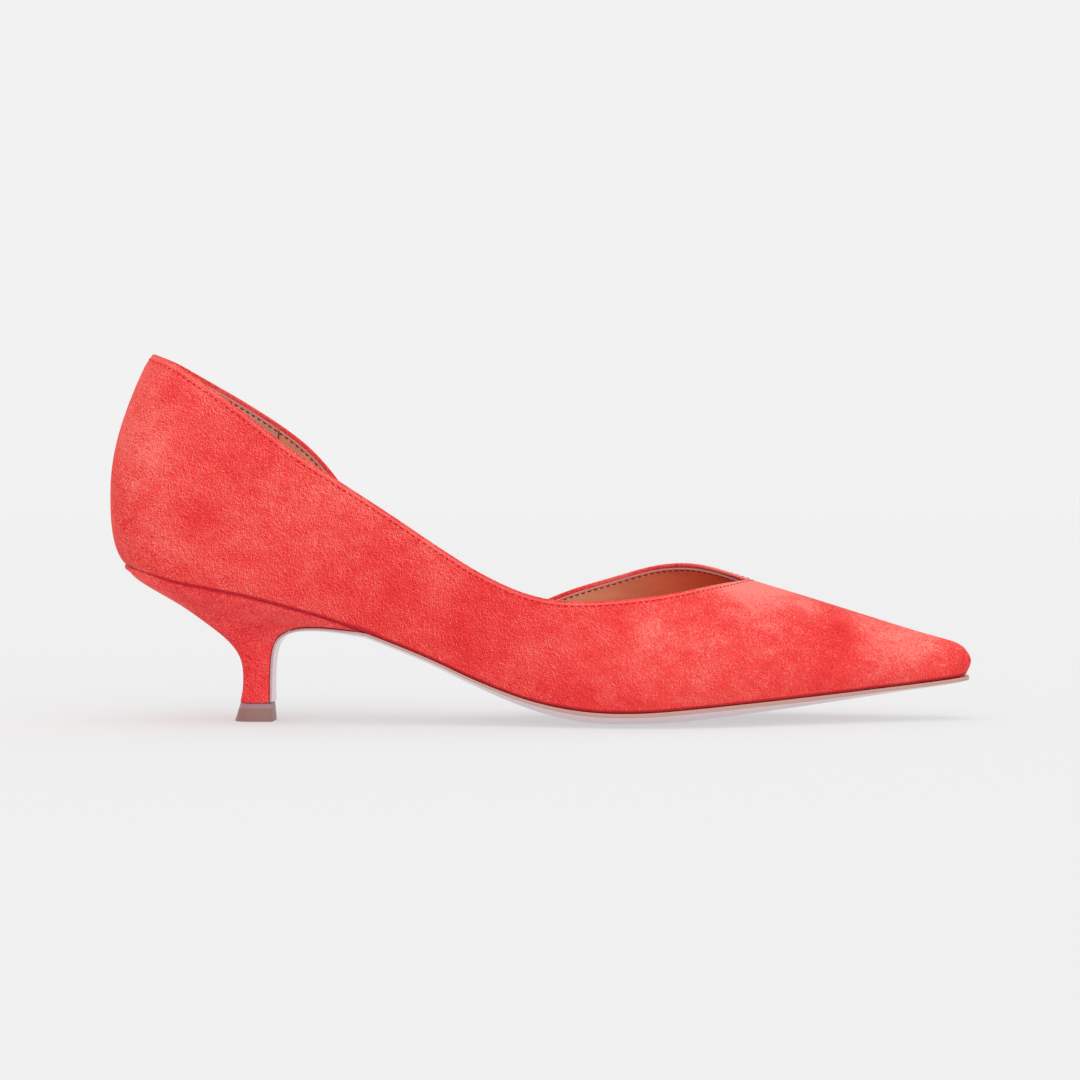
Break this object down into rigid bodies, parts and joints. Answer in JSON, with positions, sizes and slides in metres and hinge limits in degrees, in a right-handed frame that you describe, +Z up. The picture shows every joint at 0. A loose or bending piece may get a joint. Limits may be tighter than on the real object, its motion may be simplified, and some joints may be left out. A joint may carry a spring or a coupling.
{
  "type": "kitten heel pump",
  "caption": "Pointed women's pump for the right foot, with a low curved kitten heel, a leather sole, a shallow V throat and an inner side cut low.",
  "frame": {"origin": "centre of the heel tip's face on the ground", "axes": "+X towards the toe, +Y towards the inner side of the foot, +Z up"},
  "size_m": [0.2568, 0.0721, 0.1094],
  "materials": {
    "suede": "brushed coral red suede",
    "lining": "smooth tan lining leather",
    "sole_leather": "polished pale rose leather with a tan edge",
    "heel_tip": "satin brown wear plastic"
  },
  "bodies": {
    "root": {"upper": "suede", "insole": "lining", "outsole": "sole_leather", "heel": "suede", "top_piece": "heel_tip"}
  },
  "joints": []
}
